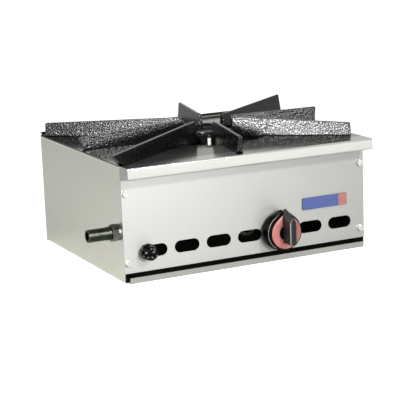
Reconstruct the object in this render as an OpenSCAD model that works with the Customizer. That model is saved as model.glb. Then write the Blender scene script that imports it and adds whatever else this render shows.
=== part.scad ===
// Single-burner gas stove: a folded stainless body, a cast-iron grate of eight fingers over
// one cast burner, a gas tap behind the front panel, a spark igniter and a pull-out drip tray.
// Millimetres. X runs along the front to the right, Y to the back and Z up. Inside this file
// places are measured from the body's front left lower corner, and place() moves the whole
// stove so that its origin lies under its middle, on the surface that it stands on.

/* [Body] */
// Width over the two side panels
body_w = 450; // [420:1:500]
// Depth from the front panel's face to the back panel's face
body_d = 364; // [350:1:400]
// Height of the hob's top face above the table
body_h = 193; // [185:1:220]
// Thickness of the sheet steel
sheet = 1.2; // [0.8:0.1:1.6]
// Width of the folded flanges on the side panels
flange = 15; // [13:1:20]
// Height of the front panel's lower edge above the table
front_z = 16.2; // [14:0.1:18]
// Inner radius of the sheet's folds
fold_r = 1.5; // [1:0.1:2.5]

/* [Hob] */
// How far the hob's front lip stands out from the front panel
lip_out = 31.5; // [25:0.5:36]
// Height of the front lip
lip_h = 19; // [15:0.5:24]
// Width of the flange folded back under the lip
lip_return = 9; // [6:0.5:12]
// Height of the upstand along the hob's back edge
upstand = 6; // [4:0.5:10]
// Distance of the burner's axis from the left face
burner_x = 242; // [236:1:246]
// Distance of the burner's axis from the front panel
burner_y = 177; // [170:1:182]
// Radius of the round dish pressed into the hob
dish_r = 106; // [98:1:110]
// Depth of the dish
dish_depth = 14; // [13:0.5:18]
// Radius of the hole in the dish's floor
dish_hole_r = 51; // [48:0.5:54]
// Radius of the rounded edge of the dish
dish_edge = 6; // [4:0.5:8]

/* [Vent slots] */
// Number of slot places along the front, one of them taken by the knob
slot_count = 7; // [5:2:7]
// Distance from slot to slot
slot_pitch = 57.8; // [54:0.1:60]
// Length of a slot
slot_w = 44.7; // [40:0.1:48]
// Height of a slot
slot_h = 20.2; // [17:0.1:22]
// Height of the row of slots above the table
slot_z = 48.4; // [47:0.1:52]
// Distance of the row's middle slot from the body's middle
slot_shift = 2.5; // [0:0.1:5]

/* [Grate] */
// Distance of the fingers' inner ends from the burner's axis
finger_in = 45; // [44:0.5:50]
// Height of the fingers above the hob at their inner ends
finger_top = 31; // [30:0.5:36]
// Height of the highest finger tip above the hob
finger_peak = 41; // [31:0.5:43]
// How far the inner part of a finger dips below the hob's face
finger_dip = 8; // [6:0.5:10]
// Width of a finger along its top edge
finger_crest = 5; // [3:0.5:6]
// Width of a finger along its bottom edge
finger_foot = 12; // [10:0.5:14]
// Length of the level land at a finger's inner end, which a pot rests on
finger_land = 20; // [10:1:30]
// Gap between the resting grate and the hob
rest_gap = 0.3; // [0.2:0.1:0.5]
// Inner radius of the ring that joins the fingers
hub_in = 44; // [42:0.5:44.5]
// Outer radius of the ring that joins the fingers
hub_out = 50; // [49:0.5:54]
// Height of the ring's underside above the hob
hub_z = 8; // [7.5:0.5:10]
// Height of the ring itself
hub_h = 6; // [4:0.5:12]

/* [Burner] */
// Radius of the burner's head
head_r = 44; // [42:0.5:46]
// Radius of the burner's cap
cap_r = 39; // [36:0.5:40]
// Number of flame slots around the head
port_count = 24; // [16:1:28]
// Width of a flame slot
port_w = 2; // [1.5:0.1:2.5]
// Outer diameter of the mixing tube
mixer_d = 34; // [32:0.5:36]
// Bore of the mixing tube
mixer_bore = 24; // [22:0.5:26]
// Height of the bar that carries the burner
bar_z = 104; // [98:1:108]
// Width of the bar that carries the burner
bar_w = 70; // [66:1:76]

/* [Gas] */
// Diameter of the inlet pipe, a half inch gas thread
inlet_d = 21; // [20.5:0.1:21.5]
// Diameter of the plain pipe behind the thread
pipe_d = 22; // [21.6:0.1:22.6]
// Bore of the inlet pipe
inlet_bore = 15.8; // [14:0.1:17]
// How far the inlet pipe stands out from the left side panel
inlet_out = 54.5; // [50:0.5:70]
// Distance of the inlet pipe's axis from the front panel
inlet_y = 17; // [16.8:0.1:20]
// Height of the inlet pipe's axis above the table
inlet_z = 83; // [82:0.5:88]
// Width of the inlet's nut across its flats
inlet_nut = 25; // [24:0.5:27]
// Diameter of the manifold's socket
socket_d = 27; // [26:0.5:28]
// Height of the tap's and the knob's axis above the table
tap_z = 51; // [49:0.5:52]
// Diameter of the tap's body
tap_d = 24; // [22:0.5:26]
// Diameter of the tap's spindle
stem_d = 8; // [7:0.5:9]

/* [Knob] */
// Radius of the knob's skirt where it faces the panel
skirt_r = 33; // [31:0.5:34]
// Radius of the knob's front face
face_r = 28.7; // [26:0.1:30]
// Distance of the knob's front face from the panel
face_out = 26.7; // [24:0.1:30]
// Gap between the knob's skirt and the panel
knob_gap = 4; // [3.8:0.1:5]
// How far the grip bar stands out from the knob's face
grip_out = 24; // [18:0.5:26]
// Width of the grip bar
grip_w = 12; // [10:0.5:14]
// Distance of the beak's tip from the knob's axis
beak_r = 40; // [36:0.5:42]
// Inner radius of the coloured ring
ring_in = 13; // [12:0.5:16]
// Outer radius of the coloured ring
ring_out = 27; // [24:0.1:27.5]
// How far the knob can be pushed in
push_in = 3; // [2:0.1:3.2]
// Gap between the coloured ring and its groove
knob_fit = 0.15; // [0.1:0.05:0.3]
// Depth of the coloured ring's groove
ring_t = 1.5; // [1:0.1:2]

/* [Igniter] */
// Distance of the igniter's axis from the left face
igniter_x = 41; // [40.5:0.1:42]
// Diameter of the igniter's threaded body
igniter_d = 17; // [16:0.1:17.2]
// Radius of the igniter's collar on the front
collar_r = 13; // [12:0.1:13.5]
// Thickness of the igniter's collar
collar_t = 8; // [6:0.5:9]
// Radius of the igniter's button
button_r = 10.5; // [9.5:0.1:11]
// How far the button stands out from the panel
button_out = 20; // [19:0.5:22]
// How far the button can be pushed in
button_push = 5; // [3:0.1:6]

/* [Drip tray] */
// Height of the tray's front lip
tray_lip_h = 9.4; // [8:0.1:10]
// Height of the tray's side walls
tray_wall_h = 11; // [8:0.5:11.5]
// Gap on each side of the tray
tray_side_gap = 1.3; // [1:0.1:2]
// How far the front lip stops short of the body's side faces
tray_lip_inset = 6; // [4:0.5:10]
// How far the tray's lip stands in front of the front panel
tray_lip_out = 7.5; // [2:0.5:12]

/* [Badge plate] */
// Width of the plain plate on the front
badge_w = 87; // [70:1:90]
// Height of the plain plate
badge_h = 20.5; // [16:0.5:22]
// Thickness of the plain plate
badge_t = 2; // [1.5:0.1:3]
// Radius of the plate's corners
badge_corner = 2.5; // [1:0.1:4]
// Distance of the plate's middle from the left face
badge_x = 372; // [365:1:380]
// Height of the plate's middle above the table
badge_z = 88.6; // [86:0.1:100]

/* [Hidden] */

$fn = 64;
eps = 0.01;
steel = "#c9c9c2";
iron = "#2b2d2c";
brass = "#b89a4a";
plug_z = body_h - sheet;

// The fingers: angle from the +X side, distance of the toe from the hob's edge, how far the
// upper corner of the tip lies inside the toe, height of that corner and of the tip's underside
fingers = [
    [355, 1, -1, 32, 9], [29, 1, 4, 40, 11], [80, 6.4, 1, 34, 7], [143, 9, 0, 23, 0],
    [180, 10, -9, 21, 0], [215.5, 5, -26, 19, 0], [260, 21, -5, 27, 0], [322.5, 11, 1, 21, 0]
];
split_r = dish_r - 8;

// Distance from the burner's axis to the edge of the hob, in the direction a
function side_edge(a) = (cos(a) > 0 ? body_w - burner_x : burner_x) / max(abs(cos(a)), eps);
function end_edge(a) = (sin(a) > 0 ? body_d - burner_y : burner_y + lip_out) / max(abs(sin(a)), eps);
function edge_at(a) = min(side_edge(a), end_edge(a));

knob_x = body_w / 2 + slot_pitch;
first_slot = -(slot_count - 1) / 2;
knob_slot = 1;
knob_reach = face_out + grip_out;
screw_edge = 7.3;
screw_d = 6;
screw_af = 10;
screw_head = 4;
screw_low = front_z + 17;
screw_high = plug_z - 44.5;
back_head = 2.4;
mid_x = (body_w - inlet_out) / 2;
mid_y = (body_d + back_head - max(knob_reach, lip_out)) / 2;

// The mixing tube runs level from the tap to the foot of the burner's riser
tap_back = 52;
outlet_r = 11;
tube_run = [burner_x - knob_x, burner_y - tap_back - outlet_r];
tube_len = norm(tube_run);
tube_turn = atan2(tube_run[1], tube_run[0]);
mouth_at = 34;
mouth_r = 25;
bar_t = 2;
collar_w = 30;
ring_bore = 30;
riser_d = 40;
head_z = body_h - 30;
seat_z = body_h - 12;
cap_z = body_h - 2;

// The thread of the manifold and what hangs on it
manifold_end = knob_x + 40;
socket_end = 38;
nipple_in = 30;
thread_l = 32;

// The knob's spindle
washer_y = 5.5;
gland_y = 4;
stem_front = face_out - 6;
stem_back = 34;
bar_screw_y = 20;
bar_screw_low = 11;

electrode_a = 247;
electrode_r = 58;
electrode = [burner_x + electrode_r * cos(electrode_a),
             burner_y + electrode_r * sin(electrode_a)];
ceramic_d = 6.4;
clip_t = 1.5;
lead_d = 4;
lead_z = body_h - dish_depth - 27;
housing_back = 46;

module place() { translate([-mid_x, -mid_y, 0]) children(); }

// Round bars along the three axes, given where they start, their diameter and length
module bar_x(from, d, l) { translate(from) rotate([0, 90, 0]) cylinder(d = d, h = l); }
module bar_y(from, d, l) { translate(from) rotate([-90, 0, 0]) cylinder(d = d, h = l); }
module bar_z(from, d, l) { translate(from) cylinder(d = d, h = l); }

// A hexagonal nut or head along an axis of its own, across its flats af
module hex(af, l) { cylinder(d = af / cos(30), h = l, $fn = 6); }

// A round turned edge: the profile of a quarter bend of sheet in the first quadrant
module bend(inner) {
    intersection() {
        difference() {
            circle(r = inner + sheet);
            circle(r = inner);
        }
        square(inner + sheet + 1);
    }
}

// The section of a sheet with both long edges folded the same way, w wide and h high
module folded_section(w, h) {
    r = fold_r + sheet;
    translate([0, r]) square([sheet, h - 2 * r]);
    translate([r, 0]) square([w - r, sheet]);
    translate([r, h - sheet]) square([w - r, sheet]);
    translate([r, r]) mirror([1, 0]) mirror([0, 1]) bend(fold_r);
    translate([r, h - r]) mirror([1, 0]) bend(fold_r);
}

// Left side panel, with flanges folded inwards on all four edges
module side_panel(inlet_hole) {
    low = front_z;
    difference() {
        union() {
            translate([0, body_d - sheet, 0]) rotate([90, 0, 0])
                linear_extrude(body_d - 2 * sheet) folded_section(flange, plug_z);
            for (y = [sheet, body_d - 2 * sheet])
                translate([sheet, y, low])
                    cube([flange - sheet, sheet, plug_z - low - sheet]);
        }
        for (z = [screw_low, screw_high]) {
            bar_y([screw_edge, 0, z], screw_d, 3 * sheet);
            bar_y([screw_edge, body_d - 3 * sheet, z], screw_d, 3 * sheet);
        }
        if (inlet_hole)
            bar_x([-1, inlet_y, inlet_z], pipe_d + 0.6, 3 * sheet);
    }
}

module left_side_panel() { color(steel) side_panel(true); }

module right_side_panel() {
    color(steel) translate([body_w, 0, 0]) mirror([1, 0, 0]) side_panel(false);
}

// One vent slot: two round ends joined by a straight middle, cut along Y
module slot_cut(x) {
    r = slot_h / 2;
    for (s = [-1, 1])
        bar_y([x + s * (slot_w / 2 - r), -1, slot_z], slot_h, sheet + 2);
    translate([x - slot_w / 2 + r, -1, slot_z - r]) cube([slot_w - slot_h, sheet + 2, slot_h]);
}

module front_panel() {
    color(steel) difference() {
        union() {
            translate([0, 0, front_z]) cube([body_w, sheet, plug_z - front_z]);
            translate([flange + 2, sheet, front_z])
                cube([body_w - 2 * flange - 4, 8, sheet]);
        }
        for (k = [first_slot : -first_slot])
            if (k != knob_slot) slot_cut(body_w / 2 + slot_shift + k * slot_pitch);
        bar_y([knob_x, -1, tap_z], tap_d - 4, sheet + 2);
        bar_y([igniter_x, -1, slot_z], igniter_d + 0.4, sheet + 2);
        for (x = [screw_edge, body_w - screw_edge], z = [screw_low, screw_high])
            bar_y([x, -1, z], screw_d, sheet + 2);
    }
}

// Back panel, with a row of long vent slots and a foot flange
module back_panel() {
    slots = 2;
    step = 180;
    long = 130;
    color(steel) difference() {
        union() {
            translate([0, body_d - sheet, 0]) cube([body_w, sheet, plug_z]);
            translate([flange + 2, body_d - flange, 0])
                cube([body_w - 2 * flange - 4, flange - sheet, sheet]);
        }
        for (k = [-(slots - 1) / 2 : (slots - 1) / 2])
            translate([body_w / 2 + k * step, body_d - sheet - 1, plug_z - 45]) {
                for (s = [-1, 1]) translate([s * (long - slot_h) / 2, 0, 0])
                    rotate([-90, 0, 0]) cylinder(d = slot_h, h = sheet + 2);
                translate([(slot_h - long) / 2, 0, -slot_h / 2])
                    cube([long - slot_h, sheet + 2, slot_h]);
            }
        for (x = [screw_edge, body_w - screw_edge], z = [screw_low, screw_high])
            bar_y([x, body_d - sheet - 1, z], screw_d, sheet + 2);
    }
}

// The dish, turned about the burner's axis: a rounded edge, a steep wall and a flat floor
// with a collar turned up around the burner
module dish_profile() {
    r = dish_edge;
    floor_z = -dish_depth;
    translate([dish_r, -r]) mirror([1, 0]) bend(r - sheet);
    translate([dish_r - r, floor_z + r]) square([sheet, dish_depth - 2 * r]);
    translate([dish_r - 2 * r + sheet, floor_z + r]) mirror([0, 1]) bend(r - sheet);
    translate([dish_hole_r, floor_z])
        square([dish_r - 2 * r + sheet - dish_hole_r, sheet]);
    translate([dish_hole_r, floor_z]) square([sheet, 5]);
}

// Outline of the front lip seen from the side, with its two rounded corners
module lip_outline() {
    r = fold_r + sheet;
    translate([r, 0]) square([lip_out - r, lip_h]);
    translate([0, r]) square([lip_out, lip_h - 2 * r]);
    for (z = [r, lip_h - r]) translate([r, z]) circle(r = r);
}

module hob_top() {
    lip_z = body_h - lip_h;
    r = fold_r + sheet;
    color(steel) difference() {
        union() {
            difference() {
                translate([0, r - lip_out, plug_z]) cube([body_w, body_d + lip_out - 2 * r, sheet]);
                translate([burner_x, burner_y, plug_z - 1]) cylinder(r = dish_r, h = 3);
            }
            // Front lip, with rounded folds above and below
            translate([0, -lip_out, 0]) rotate([90, 0, 90]) linear_extrude(body_w) {
                translate([r, body_h - r]) mirror([1, 0]) bend(fold_r);
                translate([0, lip_z + r]) square([sheet, lip_h - 2 * r]);
                translate([r, lip_z + r]) mirror([1, 0]) mirror([0, 1]) bend(fold_r);
                translate([r, lip_z]) square([lip_return - r, sheet]);
            }
            for (x = [0, body_w - sheet])
                translate([x, -lip_out, lip_z]) rotate([90, 0, 90])
                    linear_extrude(sheet) lip_outline();
            // Back edge, folded up
            translate([0, body_d - r, 0]) rotate([90, 0, 90]) linear_extrude(body_w) {
                translate([0, body_h + fold_r]) mirror([0, 1]) bend(fold_r);
                translate([fold_r, body_h + fold_r]) square([sheet, upstand - fold_r]);
            }
            translate([burner_x, burner_y, body_h]) rotate_extrude() dish_profile();
        }
        translate([electrode[0], electrode[1], body_h - dish_depth - 1]) cylinder(d = 11, h = 4);
    }
}

// The tray slides on the lower flanges of the side panels
module drip_tray() {
    inner_w = body_w - 2 * (sheet + tray_side_gap);
    x0 = sheet + tray_side_gap;
    z0 = sheet + rest_gap;
    depth = body_d - 2 * sheet - flange;
    color(steel) {
        translate([x0, sheet + rest_gap, z0]) cube([inner_w, depth, sheet]);
        for (x = [x0, x0 + inner_w - sheet])
            translate([x, sheet + rest_gap, z0]) cube([sheet, depth, tray_wall_h]);
        translate([x0, sheet + rest_gap + depth - sheet, z0]) cube([inner_w, sheet, tray_wall_h]);
        translate([tray_lip_inset, -tray_lip_out, 0.6])
            cube([body_w - 2 * tray_lip_inset, sheet, tray_lip_h]);
        translate([tray_lip_inset, -tray_lip_out, z0])
            cube([body_w - 2 * tray_lip_inset, tray_lip_out + 2 * sheet, sheet]);
    }
}

// One finger seen from its side, from the inner end to the toe that stands on the hob
module finger_side(low, lean, top, under) {
    tip = low - lean;
    toe = under > 0 ? 3 : 0.5;
    polygon([
        [finger_in, -finger_dip], [finger_in, finger_top],
        [finger_in + finger_land, finger_top], [tip - 2, top], [tip, top - 2],
        [low - toe, under + 3.5], [low, 3], [low, rest_gap],
        [low - 11, rest_gap], [low - 14, under + rest_gap], [low - 55, rest_gap + under / 4],
        [dish_r + 14, rest_gap], [split_r - 1, rest_gap], [split_r - 10, -finger_dip]
    ]);
}

// The same finger seen from its end: narrow above, wide below
module finger_end() {
    peak_w = finger_foot - (finger_foot - finger_crest) * finger_peak / finger_top;
    polygon([
        [-finger_foot / 2, -finger_dip - 1], [finger_foot / 2, -finger_dip - 1],
        [finger_foot / 2, 0], [peak_w / 2, finger_peak], [-peak_w / 2, finger_peak],
        [-finger_foot / 2, 0]
    ]);
}

// A finger between two distances from the burner's axis
module finger(f, from, to) {
    low = edge_at(f[0]) - f[1];
    rotate(f[0]) intersection() {
        rotate([90, 0, 0]) translate([0, 0, -finger_foot])
            linear_extrude(2 * finger_foot) finger_side(low, f[2], f[3], f[4]);
        rotate([90, 0, 90]) translate([0, 0, from]) linear_extrude(to - from) finger_end();
    }
}

// The outer arms of the grate, cast in one piece with its hub
module grate() {
    color(iron) translate([burner_x, burner_y, body_h])
        for (f = fingers) finger(f, split_r, body_w);
}

// The ring and the inner ends of the fingers, which reach into the dish
module grate_hub() {
    color(iron) translate([burner_x, burner_y, body_h]) {
        for (f = fingers) finger(f, finger_in - 1, split_r);
        translate([0, 0, hub_z]) difference() {
            cylinder(r = hub_out, h = hub_h);
            translate([0, 0, -1]) cylinder(r = hub_in, h = hub_h + 2);
        }
    }
}

// Axis of the mixing tube: along local +X from the tap's outlet to the riser
module tube_frame() {
    translate([knob_x, tap_back + outlet_r, tap_z]) rotate(tube_turn) children();
}

module burner_body() {
    color(iron) difference() {
        union() {
            // Head, bell and riser in one turned shape
            translate([burner_x, burner_y, 0]) rotate_extrude() polygon([
                [0, tap_z - 22], [12, tap_z - 22], [riser_d / 2, tap_z - 14],
                [riser_d / 2, bar_z + bar_t], [collar_w, bar_z + bar_t],
                [collar_w, bar_z + bar_t + 5], [riser_d / 2, bar_z + bar_t + 5],
                [riser_d / 2, head_z - 28], [head_r - 4, head_z], [head_r, head_z + 3],
                [head_r, seat_z], [0, seat_z]
            ]);
            tube_frame() {
                bar_x([mouth_at, 0, 0], mixer_d, tube_len - mouth_at);
                bar_x([mouth_at, 0, 0], 2 * mouth_r, 6);
            }
        }
        tube_frame() bar_x([mouth_at - 1, 0, 0], mixer_bore, tube_len - mouth_at + 1);
        translate([burner_x, burner_y, 0]) rotate_extrude() polygon([
            [0, tap_z - mixer_bore / 2 - 1], [mixer_bore / 2 + 1, tap_z - mixer_bore / 2 - 1],
            [mixer_bore / 2 + 1, head_z - 20], [ring_bore, head_z + 3],
            [ring_bore, seat_z + 1], [0, seat_z + 1]
        ]);
    }
}

// The ring of flame slots stands on the burner's head, under the cap
module burner_port_ring() {
    slot_z0 = seat_z + 2.5;
    color(iron) translate([burner_x, burner_y, 0]) difference() {
        rotate_extrude() polygon([
            [ring_bore, seat_z], [cap_r - 2, seat_z], [cap_r - 2, seat_z + 1.5],
            [cap_r - 4, seat_z + 2.5], [cap_r - 4, cap_z - 0.3], [ring_bore, cap_z - 0.3]
        ]);
        for (k = [0 : port_count - 1]) rotate(k * 360 / port_count)
            translate([ring_bore - 5, -port_w / 2, slot_z0])
                cube([cap_r - ring_bore + 5, port_w, cap_z - slot_z0 - 2]);
    }
}

module burner_cap() {
    color("#1b1b1b") translate([burner_x, burner_y, cap_z]) rotate_extrude() {
        polygon([
            [0, 0], [cap_r, 0], [cap_r, 4], [cap_r - 3, 6.5], [cap_r - 12, 8], [0, 9]
        ]);
        translate([ring_bore - 5.5, -5]) square([5, 6]);
    }
}

// A folded bar across the body, which the burner's collar rests on
module burner_support_bar() {
    y0 = burner_y - bar_w / 2;
    color(steel) difference() {
        union() {
            translate([sheet, y0, bar_z]) cube([body_w - 2 * sheet, bar_w, bar_t]);
            for (y = [y0, y0 + bar_w - bar_t])
                translate([sheet + 20, y, bar_z - 12]) cube([body_w - 2 * sheet - 40, bar_t, 13]);
            for (x = [sheet, body_w - sheet - bar_t])
                translate([x, y0, bar_z - 20]) cube([bar_t, bar_w, 21]);
        }
        bar_z([burner_x, burner_y, bar_z - 1], riser_d + 1, bar_t + 2);
        for (y = [-bar_screw_y, bar_screw_y])
            bar_x([0, burner_y + y, bar_z - bar_screw_low], 5.5, body_w);
    }
}

// The shutter turns on the mouth of the mixing tube to let more or less air in
module air_shutter() {
    color(steel) tube_frame() translate([mouth_at - 2.3, 0, 0]) difference() {
        bar_x([0, 0, 0], 2 * mouth_r + 3, 7);
        bar_x([2, 0, 0], 2 * mouth_r + 0.1, 6);
        bar_x([-1, 0, 0], 13.4, 4);
        for (s = [0, 180]) rotate([s, 0, 0]) intersection() {
            difference() {
                bar_x([-1, 0, 0], 42, 4);
                bar_x([-2, 0, 0], 22, 6);
            }
            translate([-1, -25, 5]) cube([4, 50, 30]);
        }
    }
}

module injector() {
    color(brass) tube_frame() difference() {
        union() {
            bar_x([16, 0, 0], 12, 22);
            translate([18, 0, 0]) rotate([0, 90, 0]) hex(13, 8);
        }
        bar_x([14, 0, 0], 6, 20);
        bar_x([30, 0, 0], 1.6, 10);
    }
}

// The tap hangs under the manifold and turns the gas towards the injector
module tap_body() {
    top = inlet_z - pipe_d / 2 - 0.05;
    color(brass) difference() {
        union() {
            bar_y([knob_x, 16, tap_z], tap_d, tap_back - 16);
            bar_y([knob_x, 12, tap_z], 16, 6);
            bar_z([knob_x, inlet_y + 2, tap_z], 14, top - tap_z - 2.5);
            bar_z([knob_x, inlet_y + 2, tap_z + 11], 18, 6);
            translate([knob_x, tap_back, tap_z]) rotate([90, 0, 0]) translate([0, 0, -4])
                hex(20, 5);
            translate([knob_x, tap_back + outlet_r - 4, tap_z]) sphere(r = outlet_r);
            tube_frame() bar_x([0, 0, 0], 15, 15.7);
        }
        bar_y([knob_x, 0, tap_z], stem_d + 2.2, 40);
    }
}

module tap_gland_nut() {
    color(brass) translate([knob_x, 12, tap_z]) difference() {
        rotate([90, 0, 0]) hex(17, 12 - gland_y);
        bar_y([0, -20, 0], stem_d + 2.2, 30);
    }
}

// The washer moves in and out with the spindle, which turns in it
module tap_thrust_washer() {
    color(steel) difference() {
        bar_y([knob_x, 30, tap_z], stem_d + 1.4, 2);
        bar_y([knob_x, 29, tap_z], stem_d + 0.1, 4);
    }
}

module tap_spindle() {
    color(steel) difference() {
        union() {
            bar_y([knob_x, -stem_front, tap_z], stem_d, stem_front + stem_back);
            bar_y([knob_x, 26, tap_z], stem_d + 1.4, 3.7);
        }
        translate([knob_x - 5, -stem_front - 1, tap_z + 2.5]) cube([10, 14, 4]);
    }
}

// The knob is drawn with its axis along Z, its back at the height knob_gap
module knob_frame() { translate([knob_x, 0, tap_z]) rotate([90, 0, 0]) children(); }

module knob_skirt() {
    rotate_extrude() polygon([
        [0, knob_gap], [skirt_r - 1, knob_gap], [skirt_r, knob_gap + 1],
        [skirt_r, knob_gap + 4], [skirt_r - 0.6, 13], [skirt_r - 1.7, 18],
        [face_r + 1, face_out - 2], [face_r, face_out - 0.6], [face_r - 0.6, face_out],
        [ring_out + knob_fit, face_out], [ring_out + knob_fit, face_out - ring_t],
        [ring_in - knob_fit, face_out - ring_t], [ring_in - knob_fit, face_out], [0, face_out]
    ]);
}

// The grip bar seen from its side: a flat lower end, a level crest and a slope to the beak
module grip_side() {
    crest = face_out + grip_out;
    polygon([
        [-17, face_out - ring_t - 1], [-17, crest - 1.5], [-15.5, crest], [6, crest],
        [12, crest - 2.5], [24, face_out + 9], [33, face_out], [beak_r, face_out - 7],
        [skirt_r + 2, knob_gap + 2], [skirt_r - 3, knob_gap + 2]
    ]);
}

// The same bar seen from the front, drawn to a point at the beak
module grip_front() {
    w = grip_w / 2;
    polygon([
        [-w, -19], [w, -19], [w, 19], [w - 1, 24], [1, beak_r], [-1, beak_r], [1 - w, 24], [-w, 19]
    ]);
}

module knob_grip() {
    intersection() {
        rotate([90, 0, 90]) translate([0, 0, -30]) linear_extrude(60) grip_side();
        linear_extrude(face_out + grip_out + 5) grip_front();
    }
}

// The wedge of the beak on the skirt
module knob_beak() {
    w = grip_w + 3;
    intersection() {
        rotate([90, 0, 90]) translate([0, 0, -30]) linear_extrude(60) polygon([
            [20, knob_gap + 1], [skirt_r + 1, knob_gap + 1], [beak_r, face_out - 7],
            [33, face_out], [20, face_out]
        ]);
        linear_extrude(face_out + 5) polygon([[-w, 22], [0, beak_r], [w, 22]]);
    }
}

module knob() {
    color("#202020") knob_frame() difference() {
        union() {
            knob_skirt();
            knob_grip();
            knob_beak();
        }
        difference() {
            translate([0, 0, 0]) cylinder(d = stem_d + 0.04, h = stem_front + 0.2);
            translate([-5, 2.52, stem_front - 12]) cube([10, 4, 20]);
        }
        translate([0, 0, knob_gap - 1]) rotate_extrude() translate([9, 0])
            square([skirt_r - 12.5, 11]);
    }
}

// The coloured ring lies in a groove of the face and is cut away where the grip stands
module knob_ring() {
    w = grip_w / 2 + knob_fit;
    color("#d87d7d") knob_frame() difference() {
        translate([0, 0, face_out - ring_t]) cylinder(r = ring_out, h = ring_t + 0.2);
        translate([0, 0, face_out - 3]) cylinder(r = ring_in, h = 6);
        translate([-w, -17 - knob_fit, 0]) cube([2 * w, 60, 60]);
        linear_extrude(60) polygon([[-17, 21], [0, 50], [17, 21]]);
    }
}

module manifold_pipe() {
    color(steel) difference() {
        union() {
            bar_x([socket_end - 8, inlet_y, inlet_z], pipe_d, manifold_end - socket_end + 8);
            bar_x([14, inlet_y, inlet_z], socket_d, socket_end - 14);
            bar_z([knob_x, inlet_y + 2, inlet_z - pipe_d / 2 - 2.5], 20, 6);
        }
        bar_x([socket_end - 9, inlet_y, inlet_z], inlet_bore, manifold_end);
        bar_x([13, inlet_y, inlet_z], pipe_d + 0.1, nipple_in + 1 - 13);
    }
}

module manifold_plug() {
    color(steel) difference() {
        translate([manifold_end - 10, inlet_y, inlet_z]) rotate([0, 90, 0]) hex(26, 16);
        bar_x([manifold_end - 11, inlet_y, inlet_z], pipe_d + 0.1, 11.2);
    }
}

// A plate on the back of the front panel, with a hole that holds the manifold
module manifold_bracket() {
    x = manifold_end - 26;
    color(steel) difference() {
        union() {
            translate([x, sheet, inlet_z - 20]) cube([3, inlet_y + 18, 40]);
            translate([x, sheet, inlet_z - 20]) cube([16, 2, 40]);
        }
        bar_x([x - 1, inlet_y, inlet_z], pipe_d + 0.2, 5);
    }
}

module inlet_nipple() {
    color("#6d6f6c") difference() {
        union() {
            bar_x([-inlet_out, inlet_y, inlet_z], inlet_d, thread_l + 1);
            bar_x([thread_l - inlet_out, inlet_y, inlet_z], pipe_d, inlet_out + nipple_in - thread_l);
        }
        bar_x([-inlet_out - 1, inlet_y, inlet_z], inlet_bore, inlet_out + nipple_in + 2);
    }
}

module inlet_outer_nut() {
    color("#7d7f7c") difference() {
        union() {
            translate([-15, inlet_y, inlet_z]) rotate([0, 90, 0]) hex(inlet_nut, 11);
            bar_x([-4, inlet_y, inlet_z], inlet_nut + 2, 4);
        }
        bar_x([-20, inlet_y, inlet_z], pipe_d + 0.1, 30);
    }
}

module inlet_inner_nut() {
    color("#7d7f7c") difference() {
        translate([sheet, inlet_y, inlet_z]) rotate([0, 90, 0]) hex(inlet_nut, 6);
        bar_x([0, inlet_y, inlet_z], pipe_d + 0.1, 10);
    }
}

// The igniter: a hollow collar and body, clamped through the panel by its nut
module igniter_housing() {
    color("#2a2a2a") difference() {
        union() {
            translate([igniter_x, 0, slot_z]) rotate([90, 0, 0]) rotate_extrude() polygon([
                [0, 0], [collar_r, 0], [collar_r, collar_t - 2], [collar_r - 1.5, collar_t],
                [0, collar_t]
            ]);
            bar_y([igniter_x, -eps, slot_z], igniter_d, housing_back);
            bar_y([igniter_x, housing_back - 1, slot_z], 7, 6);
        }
        bar_y([igniter_x, 2 - collar_t, slot_z], 12.4, 30);
        bar_y([igniter_x, -collar_t - 1, slot_z], 2 * button_r + 0.12, 7);
    }
}

module igniter_nut() {
    color(steel) difference() {
        translate([igniter_x, sheet, slot_z]) rotate([-90, 0, 0]) hex(24, 4);
        bar_y([igniter_x, 0, slot_z], igniter_d + 0.1, 8);
    }
}

// The button: a domed head on a plunger that slides in the housing
module igniter_button() {
    color("#1c1c1c") translate([igniter_x, 0, slot_z]) rotate([90, 0, 0]) rotate_extrude() polygon([
        [0, -12], [6.1, -12], [6.1, collar_t], [button_r, collar_t],
        [button_r, button_out - 5], [button_r - 1.2, button_out - 2.4],
        [button_r - 3.6, button_out - 0.6], [button_r - 6.5, button_out], [0, button_out]
    ]);
}

module igniter_spring() {
    color(steel) difference() {
        bar_y([igniter_x, 12.3, slot_z], 11, 11.6);
        bar_y([igniter_x, 12, slot_z], 8, 13);
    }
}

module spark_electrode() {
    low = body_h - dish_depth - 16;
    top = body_h + 4;
    inward = electrode_a + 180;
    color("#f2f0ea") translate([electrode[0], electrode[1], 0]) {
        bar_z([0, 0, low], ceramic_d, top - low);
        bar_z([0, 0, body_h - dish_depth - clip_t - 3], 9.6, 3);
        bar_z([0, 0, top - 1], 1.6, 3.2);
        translate([0, 0, top + 2.2]) sphere(d = 2);
        rotate(inward) bar_x([0, 0, top + 2.2], 1.6, electrode_r - cap_r - 3);
    }
}

// A small plate under the dish that holds the electrode by its collar
module electrode_clip() {
    color(steel) translate([electrode[0], electrode[1], body_h - dish_depth - clip_t])
        difference() {
            rotate(electrode_a) translate([-5.5, -9, 0]) cube([27, 18, clip_t]);
            translate([0, 0, -1]) cylinder(d = ceramic_d + 0.4, h = clip_t + 2);
        }
}

// The lead runs from the igniter's tail up behind the side panel and across to the electrode
lead_points = [
    [igniter_x, housing_back + 5.3, slot_z], [igniter_x, housing_back + 14, slot_z],
    [24, 84, slot_z + 13], [20, 92, slot_z + 41], [20, 94, lead_z - 32],
    [26, 96, lead_z - 8], [48, 100, lead_z], [120, 106, lead_z + 3], [190, 114, lead_z + 1],
    [electrode[0] - 4, electrode[1], lead_z], [electrode[0], electrode[1], lead_z + 4],
    [electrode[0], electrode[1], body_h - dish_depth - 16.2]
];

module rod(a, b, d) {
    v = b - a;
    translate(a) rotate([0, acos(v[2] / norm(v)), atan2(v[1], v[0])]) cylinder(d = d, h = norm(v));
}

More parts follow.
